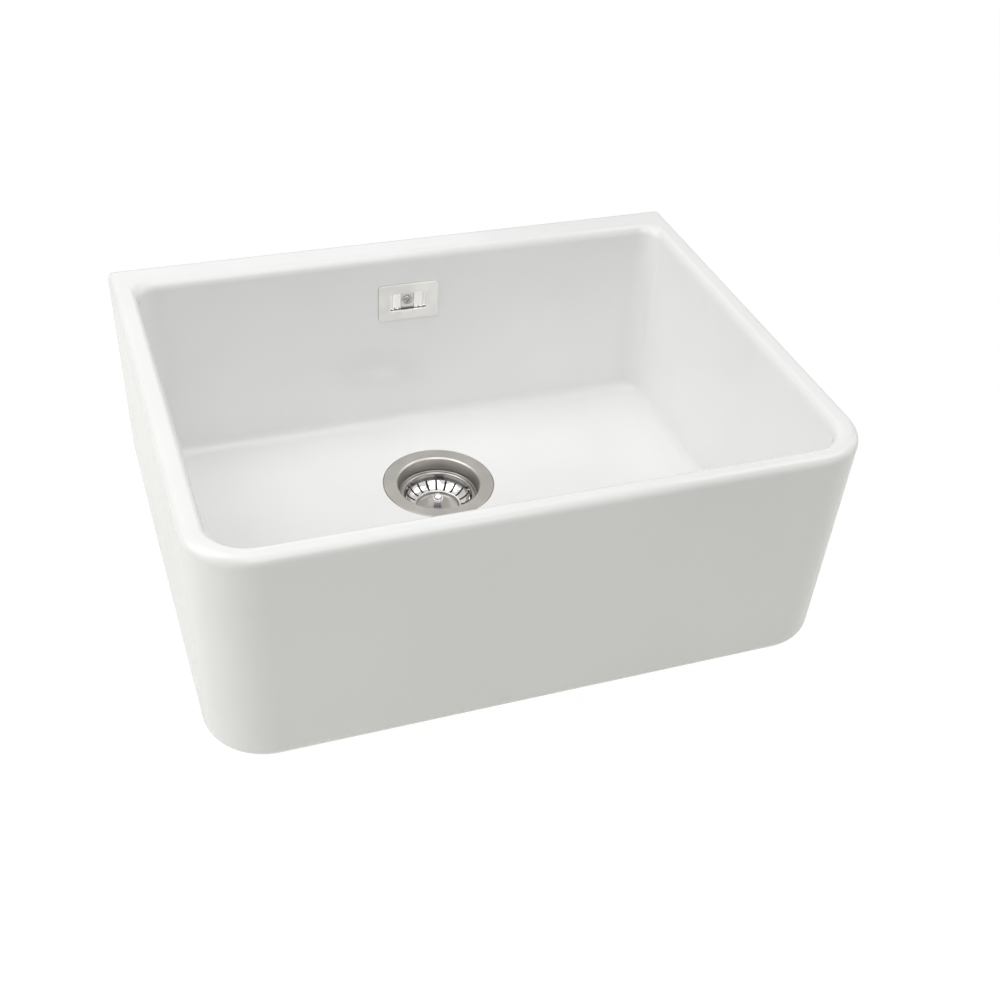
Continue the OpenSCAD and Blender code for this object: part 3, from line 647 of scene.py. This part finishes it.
def strainer():
    """The pressed sheet: flange, rolled throat, ledge, cup, and the drain holes in its floor."""
    low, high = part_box("strainer_body")
    t, roll, fold = 1.2, 3, 1
    rim, top, cup_floor = high.x / MM, high.z / MM, low.z / MM + t
    throat, throat_low, cup_top, cup_low, bolt_hole = 42.5, 41.4, 36.8, 34.5, 4.5
    ledge = top - 15.6
    mouth, foot = (throat + roll, top - roll), (cup_low - roll, cup_floor + roll)
    corner = (throat_low - fold, ledge + fold)
    upper = arc((rim - 0.6, top - 0.6), 0.6, 0, 90, 4) + arc(mouth, roll, 90, 180, 10)
    upper += arc(corner, fold, 0, -90, 4) + arc((cup_top + fold, ledge - fold), fold, 90, 180, 4)
    upper += arc(foot, roll, 0, -90, 6) + arc((bolt_hole + 0.1, cup_floor), 0.1, 90, 180, 2)
    lower = [(bolt_hole - 1.1, cup_floor - t)] + arc(foot, roll + t, -90, 0, 6)
    lower += [(cup_top + t, ledge - t)] + arc(corner, fold + t, -90, 0, 4)
    lower += arc(mouth, roll - t, 180, 90, 10) + [(rim, top - t)]
    piece = turned("strainer", upper + lower, WASTE)
    drains, drain_ring, drain_r = 8, 17.5 * MM, 5 * MM
    drain = rod("drain", (drain_ring, WASTE_Y, cup_floor * MM), drain_r, 0.01, sides=40)
    drain.data.transform(turn_about(WASTE, tau / drains / 2))
    cut(piece, joined("drains", copied_round(drain, drains, WASTE)))
    smooth(piece, 30)
    return finished(piece, "sink", "satin_steel", "strainer_body")


def basket():
    """The slotted dish with its rolled rim and sunken disc, and the knob in its middle."""
    low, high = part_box("basket_shell")
    rim, top, under = high.x / MM, high.z / MM, low.z / MM
    t, disc_r, dish_from, dish_to, dish_r, knob_hole = 1, 21.6, 23.6, 34.8, 14.4, 2.1
    disc = under + t
    dish_low = disc + 3.7
    inner = 5
    outer = degrees(asin(sin(radians(inner)) + (dish_to - dish_from) / dish_r))
    bend = (dish_from - dish_r * sin(radians(inner)), dish_low + dish_r * cos(radians(inner)))
    upper = arc((rim - 0.3, top - 0.3), 0.3, 0, 90, 3) + arc((rim - 2.2, top - 1.4), 1.4, 90, 180, 8)
    upper += arc(bend, dish_r, outer - 90, inner - 90, 14)
    upper += arc((dish_from - 0.1, dish_low - 0.7), 0.7, 95, 165, 4)
    upper += arc((disc_r - 0.2, disc + 0.8), 0.8, -20, -90, 4)
    lower = [(knob_hole, disc), (knob_hole, under), (disc_r + 0.4, under)]
    lower += arc((disc_r + 0.6, under + 0.9), 0.9, -70, -10, 4)
    lower += arc(bend, dish_r + t, inner - 90, outer - 90, 14)
    lower += arc((rim - 1.1, top - 1.5), 1.5, 180, 120, 4) + [(rim, top - t)]
    shell = turned("basket", upper + lower, WASTE, steps=160)
    slots, slot_from, slot_to, half_slot = 20, 24.4 * MM, 34.6 * MM, 1.1 * MM
    slot = rounded_block("slot", (slot_from, WASTE_Y - half_slot, -15 * MM),
                         (slot_to, WASTE_Y + half_slot, 3 * MM), 1.05 * MM, "Z", 6)
    slot.data.transform(turn_about(WASTE, 0.22 * tau / slots))
    cut(shell, joined("slots", copied_round(slot, slots, WASTE)))
    smooth(shell, 30)
    finished(shell, "basket", "satin_steel", "basket_shell", finish="basket_steel")

    low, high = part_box("basket_knob")
    end, head_r = low.z / MM, 5.6
    outline = [(0, end), (2, end), (2, disc), (4.4, disc), (4.4, disc + 0.5), (4.2, disc + 0.8)]
    outline += arc((5.6, disc + 3.4), 2, -130, -180, 5) + [(3.65, -3.0), (3.9, -1.2)]
    outline += arc((0, high.z / MM - head_r), head_r, -38, 90, 18)
    knob = turned("knob", outline, WASTE, steps=64)
    smooth(knob, 40)
    finished(knob, "basket", "chrome", "basket_knob")


def seal():
    """The rubber skirt under the basket, with a beaded lip."""
    low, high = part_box("stopper_seal")
    lip_r, top, foot, t, bead = high.x / MM, high.z / MM, low.z / MM, 2.6, 1.3
    outline = [(10, top), (16, top), (31.6, -23.4)]
    outline += arc((lip_r - bead, foot + bead), bead, 40, -90, 6)
    outline += [(30, foot), (15.5, top - t), (10, top - t)]
    skirt = turned("seal", outline, WASTE, steps=96)
    smooth(skirt, 35)
    return finished(skirt, "basket", "black_rubber", "stopper_seal")


# The overflow in the back wall

def pulled(name, outline, depth):
    """A closed outline of points, filled and pulled along a vector."""
    piece = drawn(name, outline)
    pick(piece, "VERT", lambda v: len(v.link_edges) == 1)
    bpy.ops.mesh.edge_face_add()
    bpy.ops.mesh.select_all(action="SELECT")
    bpy.ops.mesh.edge_face_add()
    bpy.ops.mesh.extrude_region_move(TRANSFORM_OT_translate={"value": depth})
    bpy.ops.mesh.select_all(action="SELECT")
    bpy.ops.mesh.normals_make_consistent(inside=False)
    nothing_selected()
    return piece


def bump_at(x, centre, reach):
    """A rounded bump of height 1 at the centre that ends at its reach."""
    return 0.5 + 0.5 * cos(pi * min(abs(x - centre) / reach, 1))


def sheet_height(x):
    """How far the sheet stands out of its middle: two pressed ribs on a raised side."""
    raised = 1 if x > 7.5 else bump_at(x, 7.5, 1.2)
    return raised + 0.9 * (bump_at(x, 15.4, 2.2) + bump_at(x, 10.4, 2.0))


def beside(points, gap):
    """A chain of flat points moved sideways by a gap."""
    moved = []
    for before, here, after in zip(points[:1] + points[:-1], points, points[1:] + points[-1:]):
        along = Vector(after) - Vector(before)
        side = Vector((along.y, -along.x)).normalized() * gap
        moved.append((here[0] + side.x, here[1] + side.y))
    return moved


def cross(centre, reach, half_w, start, end):
    """A diagonal cross that cuts a driver slot, from a start to an end before the centre."""
    arm = [(half_w, half_w), (reach, half_w), (reach, -half_w)]
    flat = [Vector(centre) + Vector((x, -start, z)) * MM for x, z in arm]
    turns = [turn_about(centre, pi / 4 + tau * i / 4, "Y") for i in range(4)]
    return pulled("cross", [turn @ spot for turn in turns for spot in flat], (0, (start - end) * MM, 0))


def overflow():
    """The frame on the wall, the folded sheet in its window, and the screw."""
    z = OVERFLOW_Z
    low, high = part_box("overflow_plate")
    frame_piece = rounded_block("overflow_frame", low, high, 4 * MM, "Y", 10)
    half_w, half_h, past = 19 * MM, 10 * MM, 10 * MM
    window = rounded_block("window", (-half_w, low.y - past, z - half_h),
                           (half_w, high.y + past, z + half_h), 0.8 * MM, "Y", 3)
    cut(frame_piece, window)
    edit(frame_piece)
    pick(frame_piece, "EDGE", lambda e: all(abs(v.co.y - low.y) < 1e-5 for v in e.verts)
         and any(f.normal.y > -0.5 for f in e.link_faces))
    bpy.ops.mesh.bevel(offset=0.35 * MM, segments=3, affect="EDGES")
    smooth(frame_piece, 32)
    finished(frame_piece, "sink", "satin_steel", "overflow_plate", finish="plate_steel")

    low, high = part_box("overflow_bridge")
    t = 0.8
    deep = (high.y - low.y) / MM - t
    edge = [(21.5, 0), (19.6, 0)] + arc((19.5, 0.9), 0.9, -90, -140, 3)[1:] + [(18.4, 1.2)]
    ribbed = [(17.9 - 0.3 * i, deep - sheet_height(17.9 - 0.3 * i)) for i in range(40)]
    half = edge + ribbed
    front = half + [(-x, y) for x, y in reversed(half)]
    rear = beside(front, t)
    outline = [Vector((x * MM, low.y + y * MM, low.z)) for x, y in front + rear[::-1]]
    sheet = pulled("overflow_sheet", outline, (0, 0, high.z - low.z))
    cut(sheet, rod("hole", (0, high.y, z), 2.8 * MM, 0.03, "Y", 48))
    smooth(sheet, 30)
    finished(sheet, "sink", "polished_steel", "overflow_bridge", finish="bridge_steel")

    web = high.y - t * MM
    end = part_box("overflow_screw")[1].y
    head_r, dome_h, brim = 5.25, 2.1, 0.5
    turns = [radians(9 * i) for i in range(1, 10)]
    outline = [(0, -dome_h - brim)] + [(head_r * sin(a), -brim - dome_h * cos(a)) for a in turns]
    shank = (end - web) / MM
    outline += [(head_r, -brim), (head_r, 0), (2.5, 0), (2.5, shank), (0, shank)]
    screw = turned("overflow_screw_head", outline, (0, web, z), "Y", 64)
    cut(screw, cross((0, web, z), 2.7, 0.45, 3, 1.3))
    smooth(screw, 30)
    finished(screw, "sink", "polished_steel", "overflow_screw", finish="screw_steel")


# The fittings below and behind the bowl

PIPE_Y, PIPE_Z = 0.2247, -0.022
SPIGOT_END = 0.160


def joined_solid(piece, *others):
    """Join closed pieces into one skin."""
    for other in others:
        apply(piece, "BOOLEAN", operation="UNION", solver="EXACT", object=other)
        bpy.data.meshes.remove(other.data)


def thread(name, radius, depth, pitch, top, turns, centre):
    """A helical ridge: its section is drawn, then screwed down about the upright axis."""
    half = pitch * 0.42
    root, crest = radius - depth, radius - 0.15
    section = [(root, half), (crest, 0.35), (crest, -0.35), (root, -half)]
    places = [Vector(centre) + Vector((r * MM, 0, (top + h) * MM)) for r, h in section]
    ridge = drawn(name, places)
    nothing_selected()
    ridge.data.transform(Matrix.Translation(-Vector(centre)))
    apply(ridge, "SCREW", axis="Z", screw_offset=-pitch * MM, iterations=turns,
          steps=72, render_steps=72, use_normal_calculate=True)
    ridge.data.transform(Matrix.Translation(centre))
    return ridge


def waste_body():
    """The moulded body under the base: flange, funnel, outlet thread, spigot, boss and ribs."""
    outline = [(46, 0), (53.4, 0)] + arc((53.2, -0.8), 0.8, 60, 0, 3) + arc((53.2, -3.2), 0.8, 0, -90, 3)
    outline += arc((50.8, -5.8), 1.8, 90, 180, 5) + arc((46, -36.6), 3, 0, -41, 5)
    outline += arc((28.9, -58.8), 3, 131, 180, 4) + [(25.9, -60), (22.75, -60)]
    outline += [(22.75, -79.2), (22, -80), (20.4, -80), (20, -79.6)]
    outline += arc((22.5, -61.5), 2.5, 180, 131, 4) + arc((43.5, -37), 2.5, -41, 0, 4)
    body = turned("waste_moulding", outline, WASTE, steps=120)
    start = (0, WASTE_Y, PIPE_Z)
    reach = (SPIGOT_END - WASTE_Y) / MM
    outline = [(0, 44), (13.5, 44), (13.5, reach - 0.8), (12.7, reach), (0, reach)]
    tube = turned("spigot", outline, start, "Y", 72)
    root = turned("root", [(0, 40), (16.5, 40), (16.5, 47), (15.7, 50), (0, 50)], start, "Y", 72)
    joined_solid(body, root, tube)
    bore = rod("bore", (0, 0.115, PIPE_Z), 8 * MM, 0.092, "Y", 64)
    socket = rod("socket", (0, 0.154, PIPE_Z), 9.55 * MM, 0.030, "Y", 64)
    inside = rod("inside", (0, WASTE_Y, -0.0185), 46 * MM, 0.036, sides=120)
    cut(body, bore, socket, inside)
    outline = [(0, -32), (7.4, -32), (8, -32.6), (8, -49), (6, -50), (0, -50)]
    boss = turned("boss", outline, WASTE, steps=48)
    blade = block("rib", (6 * MM, WASTE_Y - 1.5 * MM, -46 * MM),
                  (37.5 * MM, WASTE_Y + 1.5 * MM, -38 * MM))
    blade.data.transform(turn_about(WASTE, tau / 12))
    joined_solid(body, boss, *copied_round(blade, 3, WASTE))
    cut(body, rod("nut_bore", (0, WASTE_Y, -0.042), 5 * MM, 0.008, sides=48),
        rod("bolt_bore", (0, WASTE_Y, -0.042), 3.3 * MM, 0.03, sides=48))
    smooth(body, 32)
    ridge = thread("outlet_thread", 23.9, 1.2, 2.309, -61.6, 7, WASTE)
    smooth(ridge, 20)
    joined("waste_moulding", [body, ridge])
    return finished(body, "sink", "white_plastic", "waste_body")


def elbow():
    """The chamber behind the back wall, with its flange and the socket for the pipe."""
    low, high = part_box("overflow_elbow")
    front, back, mouth = low.y / MM, high.y / MM, low.z / MM
    z = OVERFLOW_Z
    outline = [(0, front), (30, front), (30, front + 2.4), (29.4, front + 3)]
    outline += arc((24, front + 5), 2, -90, -180, 4) + arc((19, back - 3), 3, 0, 90, 6) + [(0, back)]
    piece = turned("elbow", outline, (0, 0, z), "Y", 96)
    axis, top = (0, PIPE_Y, 0), z / MM
    outline = [(0, top), (11.4, top), (11.4, mouth + 8), (12, mouth + 7), (12, mouth + 0.8)]
    outline += [(11.5, mouth), (0, mouth)]
    joined_solid(piece, turned("neck", outline, axis, steps=72))
    outline = [(0, front - 2), (19.5, front - 2), (19.5, back - 2.5), (0, back - 2.5)]
    chamber = turned("chamber", outline, (0, 0, z), "Y", 72)
    outline = [(0, top), (8, top), (8, mouth + 16), (9.55, mouth + 16), (9.55, mouth + 3)]
    outline += [(11, mouth + 3), (11, mouth - 2), (0, mouth - 2)]
    cut(piece, chamber, turned("way", outline, axis, steps=64))
    smooth(piece, 32)
    return finished(piece, "sink", "white_plastic", "overflow_elbow")


def pipe():
    """A ring of points pulled down, spun round the bend and pulled to the spigot."""
    top, bend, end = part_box("overflow_pipe")[1].z, 28 * MM, 0.140
    turn = (0, PIPE_Y - bend, PIPE_Z + bend)
    nothing_selected()
    bpy.ops.mesh.primitive_circle_add(vertices=64, radius=9.5 * MM, location=(0, PIPE_Y, top))
    piece = named("pipe")
    edit(piece)
    bpy.ops.mesh.select_all(action="SELECT")
    bpy.ops.mesh.extrude_region_move(TRANSFORM_OT_translate={"value": (0, 0, turn[2] - top)})
    bpy.ops.mesh.spin(steps=20, angle=pi / 2, center=turn, axis=(1, 0, 0))
    bpy.ops.mesh.extrude_region_move(TRANSFORM_OT_translate={"value": (0, end - turn[1], 0)})
    bpy.ops.mesh.select_all(action="SELECT")
    bpy.ops.mesh.normals_make_consistent(inside=False)
    apply(piece, "SOLIDIFY", thickness=1.5 * MM, offset=-1)
    smooth(piece, 35)
    return finished(piece, "sink", "white_plastic", "overflow_pipe")


def union():
    """The cap nut that presses the seal on the spigot, with grips around it."""
    low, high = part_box("union_nut")
    back, front = high.y / MM, low.y / MM
    outline = [(9.8, back), (16.4, back), (17.4, back - 0.6), (18, back - 1.8)]
    outline += [(18, front + 0.8), (17.2, front), (13.5, front), (13.5, back - 3), (9.8, back - 3)]
    nut = turned("union", outline, (0, 0, PIPE_Z), "Y", 120)
    grip = rod("grip", (19.6 * MM, (low.y + high.y) / 2, PIPE_Z), 2.6 * MM, 0.03, "Y", 24)
    cut(nut, joined("grips", copied_round(grip, 12, (0, 0, PIPE_Z), "Y")))
    smooth(nut, 32)
    return finished(nut, "sink", "white_plastic", "union_nut")


strainer()
basket()
seal()
overflow()
waste_body()
elbow()
pipe()
union()

# Every CAD node that stays gets the finish of its own slot
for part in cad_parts.values():
    if part.data.materials and part.data.materials[0]:
        part.data.materials[0] = FINISHES[part.data.materials[0].name.split(".")[0]]


# Camera and light

def camera():
    """The camera of the photograph, solved from the edges of the bowl."""
    azimuth, elevation, roll = -0.38036746, 0.6566186, 0.06941177
    place = Vector((-0.38219048, -1.05607449, 0.92571181))
    focal_px, frame_px = 1428.64, 1000
    toward = -Vector((sin(azimuth) * cos(elevation), -cos(azimuth) * cos(elevation), sin(elevation)))
    right = toward.cross(Vector((0, 0, 1))).normalized()
    up = right.cross(toward)
    right, up = cos(roll) * right + sin(roll) * up, cos(roll) * up - sin(roll) * right
    data = bpy.data.cameras.new("camera")
    data.sensor_width = 36
    data.lens = focal_px / frame_px * 36
    holder = bpy.data.objects.new("camera", data)
    turn = Matrix((right, up, -toward)).transposed().to_4x4()
    holder.matrix_world = Matrix.Translation(place) @ turn
    bpy.context.collection.objects.link(holder)
    bpy.context.scene.camera = holder


def lamp(name, place, target, size, power, tint=(1, 1, 1)):
    data = bpy.data.lights.new(name, "AREA")
    data.shape = "RECTANGLE"
    data.size, data.size_y = size
    data.energy = power
    data.color = tint
    holder = bpy.data.objects.new(name, data)
    holder.location = place
    holder.rotation_euler = (Vector(target) - Vector(place)).to_track_quat("-Z", "Y").to_euler()
    bpy.context.collection.objects.link(holder)


def whiteness(tree, mirrored):
    """The share of white that a ray finds: all for the camera, and a part in metal and glass."""
    ray = tree.nodes.new("ShaderNodeLightPath")
    bounced = tree.nodes.new("ShaderNodeMath")
    bounced.operation = "MAXIMUM"
    tree.links.new(ray.outputs["Is Glossy Ray"], bounced.inputs[0])
    tree.links.new(ray.outputs["Is Transmission Ray"], bounced.inputs[1])
    share = tree.nodes.new("ShaderNodeMath")
    share.operation = "MULTIPLY_ADD"
    share.use_clamp = True
    tree.links.new(bounced.outputs[0], share.inputs[0])
    share.inputs[1].default_value = mirrored
    tree.links.new(ray.outputs["Is Camera Ray"], share.inputs[2])
    return share.outputs[0]


def studio():
    world = bpy.data.worlds.new("studio")
    bpy.context.scene.world = world
    world.use_nodes = True
    tree = world.node_tree
    ground = tree.nodes["Background"]
    level = tree.nodes.new("ShaderNodeMapRange")
    level.inputs["To Min"].default_value = 0.15
    level.inputs["To Max"].default_value = 1.0
    tree.links.new(whiteness(tree, 0.75), level.inputs["Value"])
    tree.links.new(level.outputs[0], ground.inputs["Strength"])
    ground.inputs["Color"].default_value = (1, 1, 1, 1)
    aim = (0, 0, 0.1)
    lamp("top", (-0.3, 0.1, 2.2), aim, (2.0, 2.0), 14.6)
    lamp("top_left", (-1.5, 0, 1.9), aim, (1.4, 1.4), 12.3)
    lamp("top_front", (0, -1.5, 1.9), aim, (1.4, 1.4), 10.4, (1, 1, 0.97))
    lamp("top_right", (1.5, 0, 1.9), aim, (1.2, 1.2), 8.2)
    lamp("left", (-2.2, 0, 0.9), aim, (1.6, 1.6), 14.6)
    lamp("right", (2.2, 0, 0.9), aim, (1.6, 1.6), 7.0)
    lamp("back", (0, 2.2, 1.2), aim, (1.6, 1.6), 3.7)


def floor():
    nothing_selected()
    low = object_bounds()[0][2]
    bpy.ops.mesh.primitive_plane_add(size=12, location=(0, 0, low - 2 * MM))
    piece = named("floor")
    f = Finish("floor_white", roughness=0.8, specular_ior_level=0.2)
    f.shader.inputs["Base Color"].default_value = colour(0.9, 0.903, 0.85)
    shine = f.nodes.new("ShaderNodeEmission")
    mixer = f.nodes.new("ShaderNodeMixShader")
    shine.inputs["Strength"].default_value = 1.04
    f.put(mixer.inputs[0], Value(f, whiteness(f.material.node_tree, 0.4)) * 0.94)
    f.links.new(f.shader.outputs[0], mixer.inputs[1])
    f.links.new(shine.outputs[0], mixer.inputs[2])
    f.links.new(mixer.outputs[0], f.nodes["Material Output"].inputs["Surface"])
    piece.data.materials.append(f.material)
    piece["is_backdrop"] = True


camera()
studio()
floor()
bpy.context.scene.view_settings.view_transform = "Standard"
